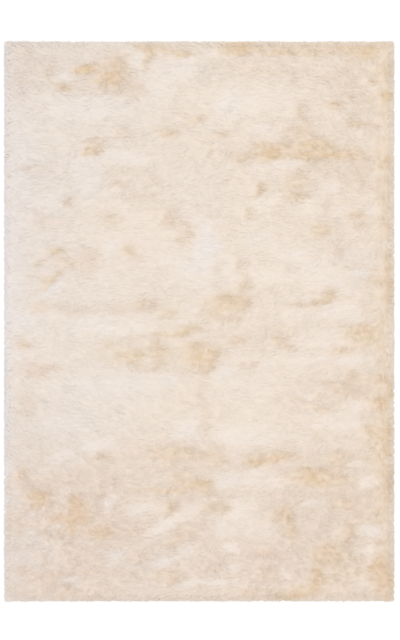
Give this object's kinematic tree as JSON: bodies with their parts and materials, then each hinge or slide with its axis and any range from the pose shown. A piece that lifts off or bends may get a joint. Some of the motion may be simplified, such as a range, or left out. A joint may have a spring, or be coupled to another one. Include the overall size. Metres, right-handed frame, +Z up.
{
  "type": "shag rug",
  "caption": "Rectangular shag rug lying flat: a deep, silky cream pile laid over in soft mats and partings, with tapered locks all round the rim.",
  "frame": {"origin": "middle of the underside, on the floor", "axes": "+Z up out of the pile, +Y along the rug's length, +X across its width"},
  "size_m": [1.6, 2.3, 0.0405],
  "materials": {
    "pile_yarn": "long, fine polyester pile in warm cream, silky and lustrous: pale and silvery where it is laid flat, honey beige where it parts"
  },
  "bodies": {
    "root": {"shag_rug": "pile_yarn"}
  },
  "joints": []
}
